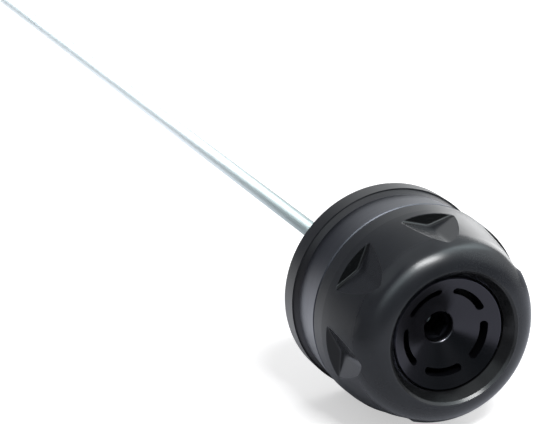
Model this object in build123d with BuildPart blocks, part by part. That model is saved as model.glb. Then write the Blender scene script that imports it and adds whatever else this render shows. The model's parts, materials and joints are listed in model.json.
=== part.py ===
"""Axle protector for a motorbike: a crash pad drawn against the end of a hollow
wheel axle by a long threaded rod.

Frame: millimetres, +Z up. The axle's axis lies along Y. The origin is the centre of
the rear seat face, which lies against the fork leg or the swingarm. The pad's nose
points along -Y, and the rod runs through the axle along +Y.

Every piece is turned about the axle's axis, so its section is drawn on the `section`
plane, where x is the radius and y is the distance forward of the rear seat face.
"""

import os
from math import cos, radians, sin, sqrt, tan

from build123d import *

os.makedirs("parts", exist_ok=True)

# Outer diameter that the pad and the collar share
body_diameter = 70.0

# Rear seat ring, which stands a little proud of the collar
ring_overhang = 0.5
ring_wall = 13.5
ring_thickness = 7.0
ring_rear_edge = 0.9
ring_front_edge = 0.25

# Collar between the seat ring and the pad
collar_length = 16.6
collar_foot_length = 2.0
collar_foot_depth = 1.2
collar_edge = 0.4
collar_boss_setback = 0.6
collar_boss_clearance = 0.1
spigot_diameter = 52.0
spigot_length = 4.0
spigot_edge = 0.5
collar_front_recess = 6.0

# Slider pad
pad_length = 31.0
pad_band_length = 6.0
pad_band_draft = 0.2
pad_taper = 10.6
pad_shoulder_draft = 5.0
pad_rear_edge = 0.5
mouth_flare = 2.2
mouth_lip = 0.8
nose_length = 9.2
spigot_clearance = 0.2

# Milled pockets in the pad's taper
pocket_count = 7
pocket_phase = 141.4
pocket_from_shoulder = 4.5
pocket_depth = 4.2
pocket_floor_fall = 2.6
pocket_side_rise = 15.0
pocket_valley_radius = 4.0
pocket_wall_draft = 26.0
pocket_corner_radius = 1.5

# Clamp cap
cap_diameter = 38.0
cap_thickness = 9.0
cap_recess = 4.2
cap_bevel = 0.5
cap_clearance = 0.4
dish_angle = 27.8
hub_rounding = 1.4
socket_across_flats = 8.0
socket_relief = 0.08
socket_step = 2.4
socket_depth = 9.0
socket_phase = 52.0
boss_diameter = 16.0
boss_end_clearance = 1.8

# Arc slots in the cap
slot_count = 5
slot_phase = 52.0
slot_rim = 4.1
slot_width = 2.3
slot_sweep = 45.4

# Rubber ring round the cap's rim
cap_ring_section = 1.5
cap_ring_setback = 2.0
cap_groove_side_gap = 0.25

# Core sleeve
sleeve_diameter = 22.0
sleeve_wall = 1.6
sleeve_clearance = 0.3

# Threaded rod, with its nut and washer
rod_diameter = 6.0
rod_reach = 500.0
rod_clearance = 0.3
rod_end_chamfer = 0.8
rod_tip_setback = 1.0
nut_across_flats = 10.0
nut_height = 5.0
nut_face_inset = 0.3
nut_chamfer_angle = 30.0
nut_room = 2.0
thread_clearance = 0.02
washer_diameter = 18.0
washer_thickness = 1.6
washer_clearance = 0.2

# Bush that centres the protector in the hollow axle
bush_diameter = 19.8
bush_length = 12.0
bush_head_diameter = 28.0
bush_head_thickness = 3.0
bush_lead_in = 1.2
bush_fit_clearance = 0.1
bush_ring_section = 1.8
bush_ring_count = 2
bush_ring_pitch = 4.5
bush_ring_stand = 0.2
bush_groove_side_gap = 0.2

# A hexagon's corners stand this half angle from the middle of its flats
hexagon_half_angle = 30.0

# Stations along the axis, forward of the rear seat face
collar_rear = ring_thickness
collar_waist = collar_rear + collar_foot_length
collar_front = collar_rear + collar_length
pad_shoulder = collar_front + pad_band_length
pad_front = collar_front + pad_length
cap_front = pad_front - cap_recess
cap_seat = cap_front - cap_thickness
spigot_front = collar_front + spigot_length
recess_floor = spigot_front - collar_front_recess
boss_rear = recess_floor + boss_end_clearance
bush_head_front = collar_boss_setback + bush_head_thickness
nut_rear = bush_head_front + nut_room
washer_rear = nut_rear + nut_height
washer_seat = washer_rear + washer_thickness
bush_ring_stations = [
    -bush_length / 2 + bush_ring_pitch * (index - (bush_ring_count - 1) / 2)
    for index in range(bush_ring_count)
]

# Radii
body_radius = body_diameter / 2
ring_radius = body_radius + ring_overhang
ring_bore_radius = ring_radius - ring_wall
collar_waist_radius = body_radius - collar_foot_depth
rod_bore_radius = rod_diameter / 2 + rod_clearance
pad_bore_radius = cap_diameter / 2 + cap_clearance
mouth_radius = pad_bore_radius + mouth_flare
sleeve_bore_radius = sleeve_diameter / 2 - sleeve_wall
slot_circle_radius = cap_diameter / 2 - slot_rim - slot_width / 2
nut_pocket_radius = washer_diameter / 2 + washer_clearance
bush_pocket_radius = bush_head_diameter / 2 + bush_fit_clearance
thread_radius = rod_diameter / 2 + thread_clearance
nut_face_radius = nut_across_flats / 2 - nut_face_inset
nut_corner_radius = nut_across_flats / 2 / cos(radians(hexagon_half_angle))
nut_corner_fall = (nut_corner_radius - nut_face_radius) * tan(radians(nut_chamfer_angle))
cap_groove_radius = pad_bore_radius - cap_ring_section
bush_groove_radius = bush_diameter / 2 + bush_ring_stand - bush_ring_section

# The pad's taper bows out a little from the shoulder to where the nose begins, and the
# nose is one arc from there to the mouth's lip
shoulder_tilt = radians(pad_shoulder_draft)
nose_rear = pad_front - nose_length
shoulder_radius = body_radius - pad_band_draft
nose_rear_radius = shoulder_radius - (nose_rear - pad_shoulder) * tan(radians(pad_taper))

# The cap's dish runs down to a round hub, which just clears the hexagon's corners
dish_radius = cap_diameter / 2 - cap_bevel
hub_radius = socket_across_flats / 2 / cos(radians(hexagon_half_angle)) + socket_relief
hub_front = cap_front - (dish_radius - hub_radius) * tan(radians(dish_angle))
hub_rear = hub_front - socket_step
socket_mouth = hub_rear - (hub_radius - socket_across_flats / 2)
socket_bottom = hub_front - socket_depth
rod_front = socket_bottom - rod_tip_setback

# Planes: the turning section, and the axle's own plane with its normal forward
section = Plane(origin=(0, 0, 0), x_dir=(1, 0, 0), z_dir=(0, 0, -1))
axle = Plane(origin=(0, 0, 0), x_dir=(1, 0, 0), z_dir=(0, -1, 0))


def axle_at(station):
    """Plane square to the axis at a distance forward of the rear seat face."""
    return axle.offset(station)


# Rear seat ring
with BuildPart() as seat_ring:
    with BuildSketch(section) as ring_section:
        with Locations(((ring_bore_radius + ring_radius) / 2, ring_thickness / 2)):
            Rectangle(ring_wall, ring_thickness)
        rear_corner, front_corner = ring_section.vertices().group_by(Axis.X)[-1].sort_by(Axis.Y)
        fillet(rear_corner, ring_rear_edge)
        chamfer(front_corner, ring_front_edge)
    revolve(axis=Axis.Y)
seat_ring.part.label = "seat_ring"
export_step(seat_ring.part, "parts/seat_ring.step")

# Collar: chamfered foot, flared barrel, a spigot for the pad and a boss for the ring
with BuildPart() as collar:
    with BuildSketch(section):
        with BuildLine():
            Polyline(
                (rod_bore_radius, washer_seat),
                (nut_pocket_radius, washer_seat),
                (nut_pocket_radius, bush_head_front),
                (bush_pocket_radius, bush_head_front),
                (bush_pocket_radius, collar_boss_setback),
                (ring_bore_radius - collar_boss_clearance, collar_boss_setback),
                (ring_bore_radius - collar_boss_clearance, collar_rear),
                (body_radius, collar_rear),
                (collar_waist_radius, collar_waist),
                (body_radius, collar_front - collar_edge),
                (body_radius - collar_edge, collar_front),
                (spigot_diameter / 2, collar_front),
                (spigot_diameter / 2, spigot_front - spigot_edge),
                (spigot_diameter / 2 - spigot_edge, spigot_front),
                (sleeve_bore_radius, spigot_front),
                (sleeve_bore_radius, recess_floor),
                (rod_bore_radius, recess_floor),
                close=True,
            )
        make_face()
    revolve(axis=Axis.Y)
collar.part.label = "collar"
export_step(collar.part, "parts/collar.step")

# Cutter for one pocket: a shallow V with a rounded valley and an inclined back wall,
# run out to the nose. Here x is the radius, y the way round and z forward.
wall_tilt = radians(pocket_wall_draft)
floor_tilt = radians(pocket_floor_fall)
pocket_floor_radius = body_radius - pocket_depth
pocket_half_width = sqrt(body_radius**2 - pocket_floor_radius**2)
pocket_side_height = pocket_half_width * tan(radians(pocket_side_rise))
pocket_wall = Plane(
    origin=(pocket_floor_radius, 0, pad_shoulder + pocket_from_shoulder),
    x_dir=(0, -1, 0),
    z_dir=(sin(wall_tilt), 0, cos(wall_tilt)),
)
with BuildPart() as pocket_cutter:
    with BuildSketch(pocket_wall) as wall_shape:
        with BuildLine():
            Polyline(
                (0, 0),
                (pocket_half_width, pocket_side_height),
                (pocket_half_width, pocket_half_width),
                (-pocket_half_width, pocket_half_width),
                (-pocket_half_width, pocket_side_height),
                close=True,
            )
        make_face()
        fillet(wall_shape.vertices().sort_by(Axis.Y)[0], pocket_valley_radius)
    extrude(amount=pad_length, dir=(-sin(floor_tilt), 0, cos(floor_tilt)))
    wall_edges = pocket_cutter.faces().sort_by(Axis.Z)[0].edges()
    fillet(wall_edges.sort_by(Axis.X)[:3], pocket_corner_radius)

# Slider pad: turned taper and nose, recess for the cap, and the milled pockets
with BuildPart(axle) as slider_pad:
    with BuildSketch(section):
        with BuildLine():
            outside = Polyline(
                (sleeve_diameter / 2 + sleeve_clearance, spigot_front),
                (spigot_diameter / 2 + spigot_clearance, spigot_front),
                (spigot_diameter / 2 + spigot_clearance, collar_front),
                (body_radius - pad_rear_edge, collar_front),
                (body_radius, collar_front + pad_rear_edge),
                (shoulder_radius, pad_shoulder),
            )
            taper = TangentArc(
                outside @ 1,
                (nose_rear_radius, nose_rear),
                tangent=(-sin(shoulder_tilt), cos(shoulder_tilt)),
            )
            nose = TangentArc(
                taper @ 1,
                (mouth_radius + mouth_lip, pad_front),
                tangent=taper % 1,
            )
            Polyline(
                nose @ 1,
                (mouth_radius, pad_front - mouth_lip),
                (pad_bore_radius, cap_front),
                (pad_bore_radius, cap_seat),
                (sleeve_diameter / 2 + sleeve_clearance, cap_seat),
                outside @ 0,
            )
        make_face()
    revolve(axis=Axis.Y)
    with PolarLocations(0, pocket_count, start_angle=pocket_phase):
        add(pocket_cutter.part, mode=Mode.SUBTRACT)
slider_pad.part.label = "slider_pad"
export_step(slider_pad.part, "parts/slider_pad.step")

# Core sleeve between the cap and the collar, which takes the clamping load
with BuildPart() as core_sleeve:
    with BuildSketch(axle_at(spigot_front)):
        Circle(sleeve_diameter / 2)
        Circle(sleeve_bore_radius, mode=Mode.SUBTRACT)
    extrude(amount=cap_seat - spigot_front)
core_sleeve.part.label = "core_sleeve"
export_step(core_sleeve.part, "parts/core_sleeve.step")

# Clamp cap: dished cap nut with a threaded boss, hexagon socket and arc slots
with BuildLine() as slot_path:
    CenterArc((0, 0), slot_circle_radius, -slot_sweep / 2, slot_sweep)
with BuildPart() as clamp_cap:
    with BuildSketch(section) as cap_section:
        with BuildLine():
            Polyline(
                (thread_radius, boss_rear),
                (boss_diameter / 2, boss_rear),
                (boss_diameter / 2, cap_seat),
                (cap_diameter / 2, cap_seat),
                (cap_diameter / 2, cap_front - cap_bevel),
                (dish_radius, cap_front),
                (hub_radius, hub_front),
                (hub_radius, hub_rear),
                (socket_across_flats / 2, socket_mouth),
                (socket_across_flats / 2, socket_bottom),
                (thread_radius, socket_bottom),
                close=True,
            )
        make_face()
        corners_by_station = cap_section.vertices().group_by(Axis.Y)
        fillet(corners_by_station[-3], hub_rounding)
    revolve(axis=Axis.Y)
    with BuildSketch(axle_at(hub_front)):
        RegularPolygon(socket_across_flats / 2, 6, major_radius=False, rotation=socket_phase)
    extrude(amount=-socket_depth, mode=Mode.SUBTRACT)
    with BuildSketch(axle_at(cap_front)):
        with PolarLocations(0, slot_count, start_angle=slot_phase):
            SlotArc(slot_path.edge(), slot_width)
    extrude(amount=-cap_thickness, mode=Mode.SUBTRACT)
    with BuildSketch(axle_at(cap_front - cap_ring_setback)):
        Circle(cap_diameter / 2)
        Circle(cap_groove_radius, mode=Mode.SUBTRACT)
    extrude(amount=cap_ring_section / 2 + cap_groove_side_gap, both=True, mode=Mode.SUBTRACT)
clamp_cap.part.label = "clamp_cap"
export_step(clamp_cap.part, "parts/clamp_cap.step")

# Rubber ring round the cap's rim
with BuildPart() as cap_o_ring:
    with BuildSketch(section):
        ring_centre = (cap_groove_radius + cap_ring_section / 2, cap_front - cap_ring_setback)
        with Locations(ring_centre):
            Circle(cap_ring_section / 2)
    revolve(axis=Axis.Y)
cap_o_ring.part.label = "cap_o_ring"
export_step(cap_o_ring.part, "parts/cap_o_ring.step")

# Draw rod, plain at its thread's outer diameter
with BuildPart() as threaded_rod:
    with BuildSketch(axle_at(-rod_reach)):
        Circle(rod_diameter / 2)
    extrude(amount=rod_front + rod_reach)
    chamfer(threaded_rod.edges().filter_by(GeomType.CIRCLE), rod_end_chamfer)
threaded_rod.part.label = "threaded_rod"
export_step(threaded_rod.part, "parts/threaded_rod.step")

# Washer and nut that hold the pack together from behind
with BuildPart() as clamp_washer:
    with BuildSketch(axle_at(washer_rear)):
        Circle(washer_diameter / 2)
        Circle(rod_bore_radius, mode=Mode.SUBTRACT)
    extrude(amount=washer_thickness)
clamp_washer.part.label = "clamp_washer"
export_step(clamp_washer.part, "parts/clamp_washer.step")

with BuildPart() as clamp_nut:
    with BuildSketch(axle_at(nut_rear)):
        RegularPolygon(nut_across_flats / 2, 6, major_radius=False)
    extrude(amount=nut_height)
    with BuildSketch(section):
        with BuildLine():
            Polyline(
                (0, nut_rear),
                (nut_face_radius, nut_rear),
                (nut_corner_radius, nut_rear + nut_corner_fall),
                (nut_corner_radius, washer_rear - nut_corner_fall),
                (nut_face_radius, washer_rear),
                (0, washer_rear),
                close=True,
            )
        make_face()
    revolve(axis=Axis.Y, mode=Mode.INTERSECT)
    with BuildSketch(axle_at(nut_rear)):
        Circle(thread_radius)
    extrude(amount=nut_height, mode=Mode.SUBTRACT)
clamp_nut.part.label = "clamp_nut"
export_step(clamp_nut.part, "parts/clamp_nut.step")

# Bush that centres the protector in the hollow axle, with a groove for each ring
with BuildPart() as axle_bush:
    with BuildSketch(section):
        with BuildLine():
            Polyline(
                (rod_bore_radius, -bush_length),
                (bush_diameter / 2 - bush_lead_in, -bush_length),
                (bush_diameter / 2, -bush_length + bush_lead_in),
                (bush_diameter / 2, collar_boss_setback),
                (bush_head_diameter / 2, collar_boss_setback),
                (bush_head_diameter / 2, bush_head_front),
                (rod_bore_radius, bush_head_front),
                close=True,
            )
        make_face()
    revolve(axis=Axis.Y)
    for station in bush_ring_stations:
        with BuildSketch(axle_at(station)):
            Circle(bush_diameter / 2)
            Circle(bush_groove_radius, mode=Mode.SUBTRACT)
        extrude(amount=bush_ring_section / 2 + bush_groove_side_gap, both=True, mode=Mode.SUBTRACT)
axle_bush.part.label = "axle_bush"
export_step(axle_bush.part, "parts/axle_bush.step")

# Rubber rings round the bush, numbered from the end that enters the axle
for number, station in enumerate(bush_ring_stations, start=1):
    with BuildPart() as bush_o_ring:
        with BuildSketch(section):
            with Locations((bush_groove_radius + bush_ring_section / 2, station)):
                Circle(bush_ring_section / 2)
        revolve(axis=Axis.Y)
    bush_o_ring.part.label = f"bush_o_ring_{number}"
    export_step(bush_o_ring.part, f"parts/bush_o_ring_{number}.step")
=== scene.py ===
"""Axle protector on a pale studio floor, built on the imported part.

Metres, +Z up. The axle's axis lies along Y: the pad's nose points along -Y and the
threaded rod along +Y. A station is a distance forward of the rear seat face.
"""

import json
from math import cos, pi, radians, sin, tan

import bmesh
import bpy
from bpy.props import FloatProperty, FloatVectorProperty, IntProperty, PointerProperty
from bpy.types import Operator, Panel, PropertyGroup
from mathutils import Matrix, Vector


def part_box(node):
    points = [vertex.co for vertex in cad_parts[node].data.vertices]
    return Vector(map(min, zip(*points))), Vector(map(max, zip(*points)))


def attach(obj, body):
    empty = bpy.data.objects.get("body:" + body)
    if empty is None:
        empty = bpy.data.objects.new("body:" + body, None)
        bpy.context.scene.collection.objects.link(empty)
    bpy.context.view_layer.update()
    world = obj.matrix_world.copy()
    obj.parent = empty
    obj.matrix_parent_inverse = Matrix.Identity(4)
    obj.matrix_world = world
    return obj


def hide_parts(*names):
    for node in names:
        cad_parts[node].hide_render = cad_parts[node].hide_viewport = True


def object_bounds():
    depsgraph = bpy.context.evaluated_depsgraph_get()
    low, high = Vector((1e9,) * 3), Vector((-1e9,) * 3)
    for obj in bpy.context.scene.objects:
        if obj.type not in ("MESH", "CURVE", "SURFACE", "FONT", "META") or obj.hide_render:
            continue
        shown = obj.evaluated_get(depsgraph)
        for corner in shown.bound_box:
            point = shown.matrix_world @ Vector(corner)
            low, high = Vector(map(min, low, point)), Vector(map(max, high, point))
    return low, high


bl_info = {
    "name": "Axle protector",
    "version": (1, 0, 0),
    "blender": (4, 5, 0),
    "location": "3D View > Sidebar > Protector",
    "description": "Finishes, screw thread and studio for a motorbike axle protector",
    "category": "Object",
}

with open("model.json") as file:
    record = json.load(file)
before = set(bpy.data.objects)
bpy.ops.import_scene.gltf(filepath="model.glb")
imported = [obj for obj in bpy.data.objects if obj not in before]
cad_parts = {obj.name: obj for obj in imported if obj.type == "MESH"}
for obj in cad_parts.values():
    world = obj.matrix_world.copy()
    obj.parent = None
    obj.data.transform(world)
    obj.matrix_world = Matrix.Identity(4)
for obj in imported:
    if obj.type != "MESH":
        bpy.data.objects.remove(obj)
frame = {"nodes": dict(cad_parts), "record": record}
cad_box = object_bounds()


def slot_colour(slot):
    """Base colour that the record gives a material slot."""
    for material in frame["record"]["materials"]:
        if material["slot"] == slot:
            return material["base_color"]
    raise RuntimeError(f"the record has no material slot {slot}")


class ProtectorColours(PropertyGroup):
    """Colours of the protector's materials."""

    pad: FloatVectorProperty(
        name="Pad",
        description="Black nylon of the slider pad",
        subtype="COLOR",
        min=0,
        max=1,
        default=slot_colour("pad_plastic"),
    )
    seat: FloatVectorProperty(
        name="Seat ring",
        description="Black plastic of the seat ring and the axle bush",
        subtype="COLOR",
        min=0,
        max=1,
        default=slot_colour("seat_plastic"),
    )
    collar: FloatVectorProperty(
        name="Collar",
        description="Black anodised collar",
        subtype="COLOR",
        min=0,
        max=1,
        default=slot_colour("collar_aluminium"),
    )
    cap: FloatVectorProperty(
        name="Cap",
        description="Blue-black anodised clamp cap",
        subtype="COLOR",
        min=0,
        max=1,
        default=slot_colour("cap_aluminium"),
    )
    bare: FloatVectorProperty(
        name="Bare aluminium",
        description="Core sleeve inside the pad",
        subtype="COLOR",
        min=0,
        max=1,
        default=slot_colour("plain_aluminium"),
    )
    zinc: FloatVectorProperty(
        name="Zinc plate",
        description="Threaded rod, nut and washer",
        subtype="COLOR",
        min=0,
        max=1,
        default=slot_colour("zinc_steel"),
    )
    rubber: FloatVectorProperty(
        name="Rubber",
        description="Rings round the cap and the bush",
        subtype="COLOR",
        min=0,
        max=1,
        default=slot_colour("ring_rubber"),
    )


class ProtectorThread(PropertyGroup):
    """Screw thread of the long rod."""

    pitch: FloatProperty(
        name="Pitch",
        description="Advance of the thread in one turn",
        default=0.001,
        min=0.0005,
        unit="LENGTH",
    )
    depth: FloatProperty(
        name="Depth",
        description="Radial depth from crest to root",
        default=0.0006,
        min=0.0001,
        unit="LENGTH",
    )
    crest: FloatProperty(
        name="Crest",
        description="Width of the flat on the thread's crest",
        default=0.000125,
        min=0.00001,
        unit="LENGTH",
    )
    flank: FloatProperty(
        name="Flank angle",
        description="Angle of each flank to a plane square to the axis",
        default=radians(30),
        subtype="ANGLE",
    )
    chamfer: FloatProperty(
        name="End chamfer",
        description="Chamfer on the rod's two ends",
        default=0.0008,
        unit="LENGTH",
    )
    steps: IntProperty(
        name="Steps",
        description="Faces round one turn",
        default=20,
        min=8,
    )


class ProtectorStudio(PropertyGroup):
    """Floor, lamps and camera."""

    floor: FloatVectorProperty(
        name="Floor",
        description="Pale colour of the studio floor",
        subtype="COLOR",
        min=0,
        max=1,
        default=(0.86, 0.86, 0.87),
    )
    lens: FloatProperty(
        name="Lens",
        description="Focal length of the camera in millimetres",
        default=135.1,
        min=1,
    )
    key: FloatProperty(
        name="Key lamp",
        description="Power of the softbox above the nose",
        default=9.5,
        unit="POWER",
    )
    rim: FloatProperty(
        name="Rim lamp",
        description="Power of the lamp behind the protector",
        default=8.0,
        unit="POWER",
    )
    sky: FloatProperty(
        name="Sky",
        description="Strength of the even light from all round",
        default=0.32,
        min=0,
    )


SETTINGS = (
    ("protector_colours", ProtectorColours),
    ("protector_thread", ProtectorThread),
    ("protector_studio", ProtectorStudio),
)


# Values. Lengths are in metres. A pair is where a mask starts and where it is full.

# Tints: COOL for the black finishes, the warm one for the painted shade on the collar's foot,
# CAP_DYE for the cap's anodising
COOL = (0.96, 1.0, 1.1)
FOOT_SHADE_TINT = (1.06, 1.0, 0.9)
CAP_DYE = (1.1, 1.04, 0.92)

# Slider pad. Its turned taper is a parabola of the station, and the nose falls below it.
PAD_NOSE_STATION = (0.0448, 0.0470)
# The bore and the floor under the cap get painted shade
PAD_BORE_RADIUS = (0.0228, 0.0222)
PAD_UNDER_CAP_RADIUS = (0.0190, 0.0187)
PAD_LIP = {"Radius": 0.0222, "Station": 0.0544, "Width": 0.0009}
PAD_RIM_STATION = (0.0534, 0.0538)
PAD_RIM_RADIUS = (0.0227, 0.0224)
TAPER_STATION = 0.0296
TAPER_RADIUS = 0.0348
TAPER_SLOPE = -0.0875
TAPER_BEND = -6.07
NOSE_STATION = 0.0454
NOSE_BEND = 31.3
POCKET_BELOW = (0.0001, 0.0003)
POCKET_FRONT_STATION = (0.0515, 0.0500)
POCKET_REAR_STATION = (0.0300, 0.0310)
# Painted shade darkens the pocket walls behind this station
POCKET_WALL_SHADE_STATION = (0.0346, 0.0338)

# Collar
COLLAR_EDGE = {"Radius": 0.0348, "Station": 0.0234, "Width": 0.00045}
# Stations of the collar's foot, where painted shade darkens it
COLLAR_FOOT_SHADE_STATION = (0.0092, 0.0088)

# Clamp cap. Its dish is a cone: the station grows with the radius.
CAP_EDGE = {"Radius": 0.0188, "Station": 0.0502, "Width": 0.0005}
SOCKET_RADIUS = (0.0050, 0.0047)
SOCKET_STATION = (0.0430, 0.0426)
DISH_SLOPE = 0.5272
DISH_STATION = 0.04065
SLOT_BELOW = (0.0001, 0.0004)
SLOT_INNER_RADIUS = (0.0054, 0.0057)
SLOT_OUTER_RADIUS = (0.0180, 0.0176)

# Zinc plate, which is duller under fingers and has painted shade near the pad
ZINC_SMUDGED = (0.66, 0.75, 0.73, 1)
ZINC_SHADE_NEAR_PAD = (0.42, 0.48, 0.48, 1)
SHADE_NEAR_PAD_STATION = (-0.25, -0.02)

# Rod: how many times the distance within which vertices merge goes into a pitch, and the
# angle from which an edge is sharp
WELDS_TO_PITCH = 200
SHARP_EDGE = radians(25)

# Floor: half its width and its gap to the part
FLOOR_REACH = 4
FLOOR_GAP = 0.0001
# The camera sees it glow more with distance, which ends in white
FLOOR_GLOW_AWAY = (0.3, 1.5)
FLOOR_GLOW = (0.5, 0.76)
# Reflections see painted light on it: a glow behind the part on the left
FLOOR_PAINTED_LIGHT_X = (0.03, -0.02)
FLOOR_PAINTED_LIGHT_Y = (0.0, 0.06)
FLOOR_PAINTED_LIGHT_GLOW = 0.7
# They see painted shade on it far out on the left, and behind the part on the right
FLOOR_PAINTED_SHADE_LEFT_X = (-0.06, -0.2)
FLOOR_PAINTED_SHADE_RIGHT_X = (0.0, 0.08)
FLOOR_PAINTED_SHADE_RIGHT_Y = (0.0, 0.1)

# Lamps: setting, name, azimuth and elevation in degrees, distance, width and height
LAMPS = (
    ("key", "key_lamp", 2, 54, 1.1, 0.42, 0.18),
    ("rim", "rim_lamp", 128, 18, 1.3, 0.7, 0.8),
)
LAMP_TARGET = (0, -0.03, 0)

# Studio that only reflections see. Each wall covers those before it: direction, cosines
# of the angle from it where the wall starts and is full, and colour.
STUDIO_BASE = (0.21, 0.222, 0.25, 1)
STUDIO_WALLS = (
    ((0, 0, 1), 0.80, 0.95, (0.9, 0.96, 1, 1)),  # ceiling
    ((0.74, 0.62, 0.26), 0.45, 0.82, (0.95, 0.98, 1, 1)),  # pale wall behind the collar
    ((0.17, -0.95, 0.26), 0.60, 0.82, (0.08, 0.1, 0.11, 1)),  # dark wall before the nose
    ((-0.03, -0.56, 0.83), 0.90, 0.98, (0.9, 0.96, 1, 1)),  # softbox above the nose
    ((0.7, -0.12, 0.7), 0.80, 0.97, (1.5, 1.6, 1.65, 1)),  # window high on the right
    ((-0.67, -0.06, 0.74), 0.92, 0.99, (0.8, 0.88, 0.92, 1)),  # panel high on the left
)
# Streak of light over the nose: a band across the first direction that grows along the second
STREAK_ACROSS = (0.44, -0.69, -0.57)
STREAK_ALONG = (0.17, -0.56, 0.81)
STREAK_NEAR_SIDE = (-0.22, -0.09)
STREAK_FAR_SIDE = (0.08, -0.03)
STREAK_GROWTH = (0.25, 0.95)
STREAK_COLOUR = (4.6, 5.3, 5.5, 1)

# Camera
CAMERA_PLACE = (-0.2721, -0.5738, 0.2328)
CAMERA_FORWARD = (0.35412, 0.88194, -0.31109)
CAMERA_RIGHT = (0.92799, -0.37261, 0)
CAMERA_NEAREST = 0.05


# Shader trees


def put(tree, kind, inputs=None, **settings):
    """Adds a node. An input is a value, or the socket that feeds it."""
    made = tree.nodes.new(kind)
    for name, value in settings.items():
        setattr(made, name, value)
    for key, value in (inputs or {}).items():
        if isinstance(value, bpy.types.NodeSocket):
            tree.links.new(value, made.inputs[key])
        else:
            made.inputs[key].default_value = value
    return made


def maths(tree, operation, *values):
    """Output of a Math node on up to three values or sockets."""
    return put(tree, "ShaderNodeMath", dict(enumerate(values)), operation=operation).outputs[0]


def times(tree, first, second):
    """Product of two values or sockets."""
    return maths(tree, "MULTIPLY", first, second)


def minus(tree, first, second):
    """Difference of two values or sockets."""
    return maths(tree, "SUBTRACT", first, second)


def most(tree, first, second):
    """Larger of two values or sockets."""
    return maths(tree, "MAXIMUM", first, second)


def plus(tree, base, *terms):
    """A base to which each term adds its value times its factor."""
    for value, factor in terms:
        base = maths(tree, "MULTIPLY_ADD", value, factor, base)
    return base


def ramp(tree, value, low, high, to_low=0.0, to_high=1.0):
    """Smooth step of a value from low to high."""
    inputs = {
        "Value": value,
        "From Min": low,
        "From Max": high,
        "To Min": to_low,
        "To Max": to_high,
    }
    made = put(tree, "ShaderNodeMapRange", inputs, interpolation_type="SMOOTHSTEP")
    return made.outputs["Result"]


def between(tree, share, first, second):
    """Mix of two colours or sockets by a share."""
    inputs = {0: share, 6: first, 7: second}
    return put(tree, "ShaderNodeMix", inputs, data_type="RGBA").outputs[2]


def coated(tree, base, *coats):
    """A colour with coats over it, each a share and a colour."""
    for share, coat in coats:
        base = between(tree, share, base, coat)
    return base


def tone(colour, factor, tint=(1.0, 1.0, 1.0)):
    """A colour made lighter or darker and tinted, with alpha."""
    return tuple(min(1.0, channel * factor * dye) for channel, dye in zip(colour, tint)) + (1.0,)


def on_object(tree):
    """Object coordinates of the surface."""
    return put(tree, "ShaderNodeTexCoord").outputs["Object"]


def split(tree, vector):
    """The three parts of a vector."""
    return put(tree, "ShaderNodeSeparateXYZ", {0: vector}).outputs


def dot(tree, vector, towards):
    """Share of a vector that lies towards a direction."""
    inputs = {0: vector, 1: towards}
    made = put(tree, "ShaderNodeVectorMath", inputs, operation="DOT_PRODUCT")
    return made.outputs["Value"]


def noise(tree, where, scale, **values):
    """Noise over a vector, from 0 to 1."""
    inputs = {"Vector": where, "Scale": scale, **values}
    return put(tree, "ShaderNodeTexNoise", inputs).outputs[0]


# Shared effects: shader node groups with float inputs and outputs


def new_group(name, inputs, outputs):
    """Shader node group with inputs (name: default), its given sockets and its ends."""
    tree = bpy.data.node_groups.new(name, "ShaderNodeTree")
    kind = "NodeSocketFloat"
    for label, default in inputs.items():
        socket = tree.interface.new_socket(label, in_out="INPUT", socket_type=kind)
        socket.default_value = default
    for label in outputs:
        tree.interface.new_socket(label, in_out="OUTPUT", socket_type=kind)
    given = put(tree, "NodeGroupInput").outputs
    ends = put(tree, "NodeGroupOutput").inputs
    return tree, given, ends


def use(tree, effect, **values):
    """Places an effect's group in a tree with its own values. The first use builds it."""
    name = effect.__name__
    if name not in bpy.data.node_groups:
        effect(name)
    group = bpy.data.node_groups[name]
    return put(tree, "ShaderNodeGroup", values, node_tree=group).outputs


def axle_place(name):
    """Radius from the axle's axis and station along it, in metres."""
    tree, _, ends = new_group(name, {}, ("Radius", "Station"))
    x, y, z = split(tree, on_object(tree))
    square = plus(tree, times(tree, z, z), (x, x))
    tree.links.new(maths(tree, "SQRT", square), ends["Radius"])
    tree.links.new(times(tree, y, -1.0), ends["Station"])


def turning_marks(name):
    """Fine rings left by the lathe, as a height from 0 to 1 and a slow drift."""
    tree, given, ends = new_group(name, {"Pitch": 0.0003, "Drift": 0.3}, ("Height", "Mask"))
    place = use(tree, axle_place)
    across = maths(tree, "DIVIDE", place["Radius"], given["Pitch"])
    along = maths(tree, "DIVIDE", place["Station"], given["Pitch"])
    where = put(tree, "ShaderNodeCombineXYZ", {0: across, 1: along}).outputs[0]
    fine = noise(tree, where, 1.0, Detail=2.0, Roughness=0.6)
    tree.links.new(fine, ends["Height"])
    broad = noise(tree, where, 0.08, Detail=1.0)
    drift = plus(tree, 0.5, (minus(tree, broad, 0.5), given["Drift"]))
    tree.links.new(drift, ends["Mask"])


def fine_grain(name):
    """Even grain and a slow mottle over a surface, each from 0 to 1."""
    tree, given, ends = new_group(name, {"Size": 0.0004}, ("Height", "Mottle"))
    where = on_object(tree)
    scale = maths(tree, "DIVIDE", 1.0, given["Size"])
    grain = noise(tree, where, scale, Detail=3.0, Roughness=0.65)
    tree.links.new(grain, ends["Height"])
    mottle = noise(tree, where, times(tree, scale, 0.05), Detail=4.0, Roughness=0.55)
    tree.links.new(mottle, ends["Mottle"])


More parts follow.
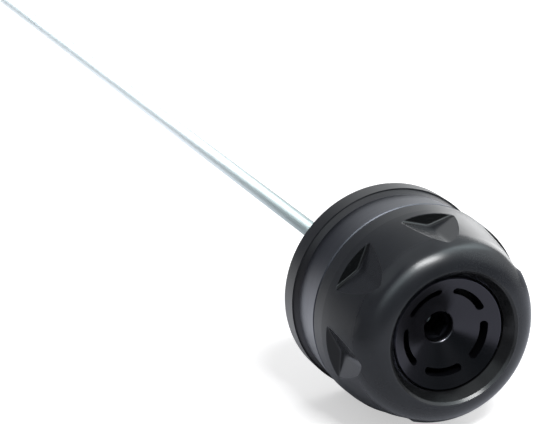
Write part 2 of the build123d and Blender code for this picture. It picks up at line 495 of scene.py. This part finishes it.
def handling_marks(name):
    """Faint hairline scuffs and finger smudges, each from 0 to 1."""
    tree, given, ends = new_group(name, {"Amount": 0.5}, ("Scuff", "Smudge"))
    where = on_object(tree)
    stretch = {0: where, "Rotation": (0.6, 0.3, 1.1), "Scale": (60, 1500, 700)}
    hair = noise(tree, put(tree, "ShaderNodeMapping", stretch).outputs[0], 1.0, Detail=1.0)
    patch = noise(tree, where, 45.0, Detail=2.0)
    scuff = times(tree, ramp(tree, hair, 0.66, 0.74), ramp(tree, patch, 0.5, 0.65))
    tree.links.new(times(tree, scuff, given["Amount"]), ends["Scuff"])
    smudge = noise(tree, where, 28.0, Detail=3.0, Distortion=0.6)
    soft = times(tree, ramp(tree, smudge, 0.42, 0.68), given["Amount"])
    tree.links.new(soft, ends["Smudge"])


def edge_ring(name):
    """Mask of a narrow band round a turned edge, broken up a little."""
    sizes = {"Radius": 0.035, "Station": 0.0236, "Width": 0.0004}
    tree, given, ends = new_group(name, sizes, ("Mask",))
    place = use(tree, axle_place)
    out = minus(tree, place["Radius"], given["Radius"])
    on = minus(tree, place["Station"], given["Station"])
    square = plus(tree, times(tree, on, on), (out, out))
    near = maths(tree, "DIVIDE", maths(tree, "SQRT", square), given["Width"])
    broken = noise(tree, on_object(tree), 160.0, Detail=3.0)
    band = times(tree, ramp(tree, near, 1.0, 0.4), ramp(tree, broken, 0.3, 0.6, 0.45, 1.0))
    tree.links.new(band, ends["Mask"])


# Materials


def new_material(name, **sockets):
    """Material with a Principled shader, and its tree and shader."""
    material = bpy.data.materials.new(name)
    material.use_nodes = True
    tree = material.node_tree
    shader = tree.nodes["Principled BSDF"]
    for key, value in sockets.items():
        shader.inputs[key.replace("_", " ")].default_value = value
    return material, tree, shader


def shade(tree, shader, colour, roughness, height, strength, depth):
    """Feeds the shader's colour, roughness and bump, whose depth is in metres."""
    bump = {"Height": height, "Strength": strength, "Distance": depth}
    feeds = {
        "Base Color": colour,
        "Roughness": roughness,
        "Normal": put(tree, "ShaderNodeBump", bump).outputs[0],
    }
    for key, socket in feeds.items():
        tree.links.new(socket, shader.inputs[key])


def wear(node_names, material):
    """Gives CAD nodes one material."""
    for name in node_names:
        mesh = frame["nodes"][name].data
        mesh.materials.clear()
        mesh.materials.append(material)


def zinc_plate(context):
    """Bright zinc plate over turned or rolled steel."""
    name = "zinc_plate"
    if name in bpy.data.materials:
        return bpy.data.materials[name]
    colour = context.scene.protector_colours.zinc
    material, tree, shader = new_material(name, Metallic=1.0)
    grain = use(tree, fine_grain, Size=0.0002)
    marks = use(tree, handling_marks, Amount=0.8)
    place = use(tree, axle_place)
    sheet = coated(
        tree,
        between(tree, grain["Mottle"], tone(colour, 1.3), tone(colour, 1.45)),
        (times(tree, marks["Smudge"], 0.3), ZINC_SMUDGED),
        # painted shade: the zinc is darker near the pad
        (ramp(tree, place["Station"], *SHADE_NEAR_PAD_STATION), ZINC_SHADE_NEAR_PAD),
    )
    rough = plus(tree, 0.38, (grain["Height"], 0.16))
    shade(tree, shader, sheet, rough, grain["Height"], strength=0.15, depth=0.00001)
    return material


# Pieces


class PROTECTOR_OT_pad(Operator):
    """Finish the slider pad: fine-grained taper, smoother nose, milled pockets"""

    bl_idname = "protector.pad"
    bl_label = "Finish slider pad"

    def execute(self, context):
        colour = context.scene.protector_colours.pad
        material, tree, shader = new_material("turned_nylon", Specular_IOR_Level=0.36)
        place = use(tree, axle_place)
        grain = use(tree, fine_grain, Size=0.00035)
        turned = use(tree, turning_marks, Pitch=0.0004, Drift=0.5)
        marks = use(tree, handling_marks, Amount=0.6)
        lip = use(tree, edge_ring, **PAD_LIP)
        nose = ramp(tree, place["Station"], *PAD_NOSE_STATION)
        bore = ramp(tree, place["Radius"], *PAD_BORE_RADIUS)
        shaded_under_cap = ramp(tree, place["Radius"], *PAD_UNDER_CAP_RADIUS)
        milled = self.milled(tree, place)
        wall = times(tree, milled, ramp(tree, place["Station"], *POCKET_WALL_SHADE_STATION))
        rim = times(
            tree,
            ramp(tree, place["Station"], *PAD_RIM_STATION),
            ramp(tree, place["Radius"], *PAD_RIM_RADIUS),
        )
        sheet = coated(
            tree,
            between(tree, grain["Mottle"], tone(colour, 0.55, COOL), tone(colour, 0.85, COOL)),
            # painted shade: the bore inside the mouth is darker
            (bore, tone(colour, 0.25)),
            # painted shade: the pocket walls and the pad's floor under the cap are near black
            (most(tree, wall, shaded_under_cap), tone(colour, 0.08)),
            (times(tree, marks["Scuff"], 0.3), tone(colour, 1.8)),
            (times(tree, lip["Mask"], 0.3), tone(colour, 2.0)),
        )
        rough = plus(
            tree,
            0.38,
            (nose, -0.13),
            (milled, -0.18),
            (bore, -0.06),
            (shaded_under_cap, 0.6),
            (minus(tree, grain["Height"], 0.5), 0.1),
            (marks["Smudge"], 0.04),
            (rim, 0.06),
        )
        rough = most(tree, rough, 0.15)
        height = plus(tree, times(tree, turned["Height"], 0.5), (grain["Height"], 0.7))
        shade(tree, shader, sheet, rough, height, strength=0.12, depth=0.00002)
        wear(["slider_pad"], material)
        return {"FINISHED"}

    def milled(self, tree, place):
        """Mask of the pockets: surface that lies below the turned taper."""
        station = place["Station"]
        along = minus(tree, station, TAPER_STATION)
        slope = plus(tree, TAPER_SLOPE, (along, TAPER_BEND))
        taper = plus(tree, TAPER_RADIUS, (along, slope))
        past = most(tree, minus(tree, station, NOSE_STATION), 0.0)
        fall = times(tree, times(tree, past, past), NOSE_BEND)
        below = minus(tree, minus(tree, taper, fall), place["Radius"])
        inside = times(
            tree,
            ramp(tree, station, *POCKET_FRONT_STATION),
            ramp(tree, station, *POCKET_REAR_STATION),
        )
        return times(tree, ramp(tree, below, *POCKET_BELOW), inside)


class PROTECTOR_OT_seat(Operator):
    """Finish the seat ring and the axle bush"""

    bl_idname = "protector.seat"
    bl_label = "Finish seat ring and bush"

    def execute(self, context):
        colour = context.scene.protector_colours.seat
        material, tree, shader = new_material("turned_plastic")
        grain = use(tree, fine_grain, Size=0.0003)
        turned = use(tree, turning_marks, Pitch=0.00035, Drift=0.4)
        marks = use(tree, handling_marks, Amount=0.5)
        sheet = coated(
            tree,
            between(tree, grain["Mottle"], tone(colour, 0.4, COOL), tone(colour, 0.65, COOL)),
            (times(tree, marks["Scuff"], 0.4), tone(colour, 2.0)),
        )
        rough = plus(tree, 0.26, (turned["Mask"], 0.2), (marks["Smudge"], 0.06))
        height = plus(tree, times(tree, grain["Height"], 0.3), (turned["Height"], 0.8))
        shade(tree, shader, sheet, rough, height, strength=0.2, depth=0.00003)
        wear(["seat_ring", "axle_bush"], material)
        return {"FINISHED"}


class PROTECTOR_OT_collar(Operator):
    """Finish the anodised collar"""

    bl_idname = "protector.collar"
    bl_label = "Finish collar"

    def execute(self, context):
        colour = context.scene.protector_colours.collar
        material, tree, shader = new_material("anodised_collar", Metallic=1.0)
        turned = use(tree, turning_marks, Pitch=0.00025, Drift=0.6)
        place = use(tree, axle_place)
        marks = use(tree, handling_marks, Amount=0.5)
        edge = use(tree, edge_ring, **COLLAR_EDGE)
        sheet = coated(
            tree,
            between(tree, turned["Mask"], tone(colour, 1.6), tone(colour, 2.1)),
            # painted shade: the collar's foot chamfer is made darker and warmer
            (ramp(tree, place["Station"], *COLLAR_FOOT_SHADE_STATION), tone(colour, 1.1, FOOT_SHADE_TINT)),
            (times(tree, edge["Mask"], 0.7), tone(colour, 1.1)),
        )
        rough = plus(tree, 0.3, (turned["Height"], 0.14), (marks["Smudge"], 0.06))
        shade(tree, shader, sheet, rough, turned["Height"], strength=0.18, depth=0.00003)
        wear(["collar"], material)
        return {"FINISHED"}


class PROTECTOR_OT_cap(Operator):
    """Finish the anodised clamp cap"""

    bl_idname = "protector.cap"
    bl_label = "Finish clamp cap"

    def execute(self, context):
        colour = context.scene.protector_colours.cap
        material, tree, shader = new_material("anodised_cap", Metallic=1.0)
        turned = use(tree, turning_marks, Pitch=0.00022, Drift=0.5)
        marks = use(tree, handling_marks, Amount=0.5)
        edge = use(tree, edge_ring, **CAP_EDGE)
        cut = self.cut(tree, use(tree, axle_place))
        sheet = coated(
            tree,
            between(tree, turned["Mask"], tone(colour, 0.24, CAP_DYE), tone(colour, 0.3, CAP_DYE)),
            # painted shade: the hexagon socket and the slots are near black
            (cut, tone(colour, 0.04)),
            (times(tree, edge["Mask"], 0.4), tone(colour, 2.0)),
        )
        rough = plus(tree, 0.16, (turned["Height"], 0.08), (marks["Smudge"], 0.04), (cut, 0.5))
        shade(tree, shader, sheet, rough, turned["Height"], strength=0.12, depth=0.00002)
        wear(["clamp_cap"], material)
        return {"FINISHED"}

    def cut(self, tree, place):
        """Mask of the hexagon socket and of the slots, which lie below the dish and get painted
        shade.
        """
        radius, station = place["Radius"], place["Station"]
        socket = times(
            tree,
            ramp(tree, radius, *SOCKET_RADIUS),
            ramp(tree, station, *SOCKET_STATION),
        )
        dish = plus(tree, DISH_STATION, (radius, DISH_SLOPE))
        inside = times(
            tree,
            ramp(tree, radius, *SLOT_INNER_RADIUS),
            ramp(tree, radius, *SLOT_OUTER_RADIUS),
        )
        slot = times(tree, ramp(tree, minus(tree, dish, station), *SLOT_BELOW), inside)
        return most(tree, socket, slot)


class PROTECTOR_OT_rubber(Operator):
    """Finish the rubber rings"""

    bl_idname = "protector.rubber"
    bl_label = "Finish rubber rings"

    def execute(self, context):
        colour = context.scene.protector_colours.rubber
        material, tree, shader = new_material("moulded_rubber")
        grain = use(tree, fine_grain, Size=0.00012)
        marks = use(tree, handling_marks, Amount=0.7)
        sheet = coated(
            tree,
            between(tree, grain["Mottle"], tone(colour, 0.8), tone(colour, 1.6)),
            (times(tree, marks["Smudge"], 0.4), tone(colour, 2.4)),
        )
        rough = plus(tree, 0.5, (grain["Height"], 0.2))
        shade(tree, shader, sheet, rough, grain["Height"], strength=0.3, depth=0.00002)
        wear(["cap_o_ring", "bush_o_ring_1", "bush_o_ring_2"], material)
        return {"FINISHED"}


class PROTECTOR_OT_sleeve(Operator):
    """Finish the bare core sleeve"""

    bl_idname = "protector.sleeve"
    bl_label = "Finish core sleeve"

    def execute(self, context):
        colour = context.scene.protector_colours.bare
        material, tree, shader = new_material("bare_aluminium", Metallic=1.0)
        turned = use(tree, turning_marks, Pitch=0.0003, Drift=0.5)
        marks = use(tree, handling_marks, Amount=0.5)
        sheet = between(tree, turned["Mask"], tone(colour, 0.85), tone(colour, 1.1))
        rough = plus(tree, 0.25, (turned["Height"], 0.2), (marks["Smudge"], 0.1))
        shade(tree, shader, sheet, rough, turned["Height"], strength=0.2, depth=0.00003)
        wear(["core_sleeve"], material)
        return {"FINISHED"}


class PROTECTOR_OT_fasteners(Operator):
    """Finish the clamp nut and its washer"""

    bl_idname = "protector.fasteners"
    bl_label = "Finish nut and washer"

    def execute(self, context):
        wear(["clamp_nut", "clamp_washer"], zinc_plate(context))
        return {"FINISHED"}


class PROTECTOR_OT_rod(Operator):
    """Cut the screw thread along the whole rod"""

    bl_idname = "protector.rod"
    bl_label = "Thread the rod"

    def execute(self, context):
        thread = context.scene.protector_thread
        low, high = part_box("threaded_rod")
        radius = (high.x - low.x) / 2
        start = low.y - thread.pitch
        bm = bmesh.new()
        self.spin_turn(bm, thread, radius, start)
        self.repeat_turns(bm, thread, start, high.y)
        self.cut_ends(bm, low.y, high.y)
        self.chamfer_ends(bm, thread, radius, low.y, high.y)
        bmesh.ops.recalc_face_normals(bm, faces=bm.faces)
        # Only the two end faces have more than four corners, and they are flat
        for face in bm.faces:
            face.smooth = len(face.verts) < 5
        for edge in bm.edges:
            edge.smooth = edge.calc_face_angle(0) < SHARP_EDGE
        mesh = bpy.data.meshes.new("rod_thread")
        bm.to_mesh(mesh)
        bm.free()
        mesh.materials.append(zinc_plate(context))
        rod = bpy.data.objects.new("rod_thread", mesh)
        context.scene.collection.objects.link(rod)
        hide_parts("threaded_rod")
        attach(rod, "root")
        return {"FINISHED"}

    def spin_turn(self, bm, thread, radius, start):
        """One turn of the thread: its profile, spun and moved along by one pitch."""
        root = radius - thread.depth
        run = thread.depth * tan(thread.flank)
        profile = [
            (0, radius),
            (thread.crest, radius),
            (thread.crest + run, root),
            (thread.pitch - run, root),
            (thread.pitch, radius),
        ]
        points = [bm.verts.new((0, start + along, out)) for along, out in profile]
        edges = [bm.edges.new(pair) for pair in zip(points, points[1:])]
        bmesh.ops.spin(
            bm,
            geom=points + edges,
            cent=(0, 0, 0),
            axis=(0, 1, 0),
            dvec=(0, thread.pitch / thread.steps, 0),
            angle=2 * pi,
            steps=thread.steps,
        )

    def repeat_turns(self, bm, thread, start, end):
        """Doubles the thread until it passes the rod's end, and joins its turns."""
        length = thread.pitch
        while start + length < end + 2 * thread.pitch:
            turns = bm.verts[:] + bm.edges[:] + bm.faces[:]
            copied = bmesh.ops.duplicate(bm, geom=turns)["geom"]
            moved = [item for item in copied if isinstance(item, bmesh.types.BMVert)]
            bmesh.ops.translate(bm, vec=(0, length, 0), verts=moved)
            length *= 2
        bmesh.ops.remove_doubles(bm, verts=bm.verts, dist=thread.pitch / WELDS_TO_PITCH)

    def cut_ends(self, bm, start, end):
        """Cuts the thread square at both ends and closes it."""
        for station, way in ((start, -1), (end, 1)):
            cut = bmesh.ops.bisect_plane(
                bm,
                geom=bm.verts[:] + bm.edges[:] + bm.faces[:],
                plane_co=(0, station, 0),
                plane_no=(0, way, 0),
                clear_outer=True,
            )["geom_cut"]
            rim = [item for item in cut if isinstance(item, bmesh.types.BMEdge)]
            bmesh.ops.contextual_create(bm, geom=rim)

    def chamfer_ends(self, bm, thread, radius, start, end):
        """Draws the thread in at both ends."""
        for vert in bm.verts:
            inside = min(vert.co.y - start, end - vert.co.y)
            most_out = radius - max(thread.chamfer - inside, 0)
            out = Vector((vert.co.x, 0, vert.co.z)).length
            if out > most_out:
                vert.co.x *= most_out / out
                vert.co.z *= most_out / out


class PROTECTOR_OT_stage(Operator):
    """Set up the floor, the lamps, the sky and the camera"""

    bl_idname = "protector.stage"
    bl_label = "Set up studio"

    def execute(self, context):
        studio = context.scene.protector_studio
        self.lay_floor(context, studio)
        self.hang_lamps(context, studio)
        self.paint_sky(context, studio)
        self.place_camera(context, studio)
        context.scene.view_settings.view_transform = "Standard"
        return {"FINISHED"}

    def straight_rays(self, tree, rays):
        """Mask of the rays that see the studio as a plain background."""
        return most(tree, rays["Is Camera Ray"], rays["Is Transmission Ray"])

    def lay_floor(self, context, studio):
        bm = bmesh.new()
        bmesh.ops.create_grid(bm, x_segments=1, y_segments=1, size=FLOOR_REACH)
        bmesh.ops.translate(bm, vec=(0, 0, cad_box[0].z - FLOOR_GAP), verts=bm.verts)
        mesh = bpy.data.meshes.new("floor")
        bm.to_mesh(mesh)
        bm.free()
        mesh.materials.append(self.floor_material(studio))
        floor = bpy.data.objects.new("floor", mesh)
        context.scene.collection.objects.link(floor)

    def floor_material(self, studio):
        """Pale floor: white to the camera; to reflections a darker copy with painted light and
        painted shade.
        """
        material, tree, shader = new_material("pale_floor", Roughness=0.9, Specular_IOR_Level=0.0)
        shader.inputs["Emission Color"].default_value = (1, 1, 1, 1)
        rays = put(tree, "ShaderNodeLightPath").outputs
        where = on_object(tree)
        x, y, _ = split(tree, where)
        away = put(tree, "ShaderNodeVectorMath", {0: where}, operation="LENGTH").outputs["Value"]
        glow = ramp(tree, away, *FLOOR_GLOW_AWAY, *FLOOR_GLOW)
        direct = times(tree, self.straight_rays(tree, rays), glow)
        # painted light: a glow on the floor that only reflections see
        behind = times(tree, ramp(tree, y, *FLOOR_PAINTED_LIGHT_Y), ramp(tree, x, *FLOOR_PAINTED_LIGHT_X))
        painted_light = times(tree, behind, rays["Is Glossy Ray"])
        glowing = plus(tree, direct, (painted_light, FLOOR_PAINTED_LIGHT_GLOW))
        tree.links.new(glowing, shader.inputs["Emission Strength"])
        # painted shade: a darker copy of the floor with dark parts, which only reflections see
        left = ramp(tree, x, *FLOOR_PAINTED_SHADE_LEFT_X)
        right = times(tree, ramp(tree, x, *FLOOR_PAINTED_SHADE_RIGHT_X), ramp(tree, y, *FLOOR_PAINTED_SHADE_RIGHT_Y))
        mirrored = coated(
            tree,
            tone(studio.floor, 0.85, COOL),
            (left, tone(studio.floor, 0.3, COOL)),
            (right, tone(studio.floor, 0.35, COOL)),
        )
        pale = between(tree, rays["Is Glossy Ray"], tone(studio.floor, 1.0), mirrored)
        tree.links.new(pale, shader.inputs["Base Color"])
        return material

    def hang_lamps(self, context, studio):
        for setting, name, turn, rise, distance, width, height in LAMPS:
            light = bpy.data.lights.new(name, "AREA")
            light.shape = "RECTANGLE"
            light.size = width
            light.size_y = height
            light.energy = getattr(studio, setting)
            lamp = bpy.data.objects.new(name, light)
            turn, rise = radians(turn), radians(rise)
            towards = Vector((sin(turn) * cos(rise), -cos(turn) * cos(rise), sin(rise)))
            lamp.location = Vector(LAMP_TARGET) + towards * distance
            lamp.rotation_euler = towards.to_track_quat("Z", "Y").to_euler()
            lamp.visible_camera = False
            context.scene.collection.objects.link(lamp)

    def paint_sky(self, context, studio):
        world = bpy.data.worlds.new("studio")
        world.use_nodes = True
        tree = world.node_tree
        tree.nodes.clear()
        rays = put(tree, "ShaderNodeLightPath").outputs
        white = (1, 1, 1, 1)
        even = self.light(tree, white, studio.sky)
        mirrored = self.light(tree, self.reflected_room(tree), 1.0)
        backdrop = self.light(tree, white, 1.0)
        lighting = self.choose(tree, rays["Is Glossy Ray"], even, mirrored)
        final = self.choose(tree, self.straight_rays(tree, rays), lighting, backdrop)
        put(tree, "ShaderNodeOutputWorld", {"Surface": final})
        context.scene.world = world

    def light(self, tree, colour, strength):
        """Background shader of a colour and a strength."""
        inputs = {"Color": colour, "Strength": strength}
        return put(tree, "ShaderNodeBackground", inputs).outputs[0]

    def choose(self, tree, share, first, second):
        """Mix of two shaders by a share."""
        return put(tree, "ShaderNodeMixShader", {0: share, 1: first, 2: second}).outputs[0]

    def reflected_room(self, tree):
        """Colour of the room round the protector, as reflections see it."""
        where = put(tree, "ShaderNodeTexCoord").outputs["Generated"]
        room = STUDIO_BASE
        for towards, low, high, wall in STUDIO_WALLS:
            near = ramp(tree, dot(tree, where, towards), low, high)
            room = between(tree, near, room, wall)
        across = dot(tree, where, STREAK_ACROSS)
        along = dot(tree, where, STREAK_ALONG)
        band = times(
            tree,
            ramp(tree, across, *STREAK_NEAR_SIDE),
            ramp(tree, across, *STREAK_FAR_SIDE),
        )
        streak = times(tree, band, ramp(tree, along, *STREAK_GROWTH))
        return between(tree, streak, room, STREAK_COLOUR)

    def place_camera(self, context, studio):
        data = bpy.data.cameras.new("camera")
        data.lens = studio.lens
        data.clip_start = CAMERA_NEAREST
        camera = bpy.data.objects.new("camera", data)
        forward = Vector(CAMERA_FORWARD)
        right = Vector(CAMERA_RIGHT)
        up = right.cross(forward)
        turn = Matrix((right, up, -forward)).transposed().to_4x4()
        camera.matrix_world = Matrix.Translation(CAMERA_PLACE) @ turn
        context.scene.collection.objects.link(camera)
        context.scene.camera = camera


STEPS = (
    PROTECTOR_OT_pad,
    PROTECTOR_OT_seat,
    PROTECTOR_OT_collar,
    PROTECTOR_OT_cap,
    PROTECTOR_OT_rubber,
    PROTECTOR_OT_sleeve,
    PROTECTOR_OT_fasteners,
    PROTECTOR_OT_rod,
    PROTECTOR_OT_stage,
)


class PROTECTOR_PT_tools(Panel):
    """Lists the protector's settings and steps"""

    bl_label = "Axle protector"
    bl_space_type = "VIEW_3D"
    bl_region_type = "UI"
    bl_category = "Protector"

    def draw(self, context):
        for name, group in SETTINGS:
            box = self.layout.box()
            settings = getattr(context.scene, name)
            for key in group.__annotations__:
                box.prop(settings, key)
        for step in STEPS:
            self.layout.operator(step.bl_idname)


def register():
    for _, group in SETTINGS:
        bpy.utils.register_class(group)
    for name, group in SETTINGS:
        setattr(bpy.types.Scene, name, PointerProperty(type=group))
    for step in STEPS:
        bpy.utils.register_class(step)
    bpy.utils.register_class(PROTECTOR_PT_tools)


def unregister():
    bpy.utils.unregister_class(PROTECTOR_PT_tools)
    for step in reversed(STEPS):
        bpy.utils.unregister_class(step)
    for name, group in reversed(SETTINGS):
        delattr(bpy.types.Scene, name)
        bpy.utils.unregister_class(group)


def main():
    register()
    bpy.ops.protector.pad()
    bpy.ops.protector.seat()
    bpy.ops.protector.collar()
    bpy.ops.protector.cap()
    bpy.ops.protector.rubber()
    bpy.ops.protector.sleeve()
    bpy.ops.protector.fasteners()
    bpy.ops.protector.rod()
    bpy.ops.protector.stage()


if __name__ == "__main__":
    main()
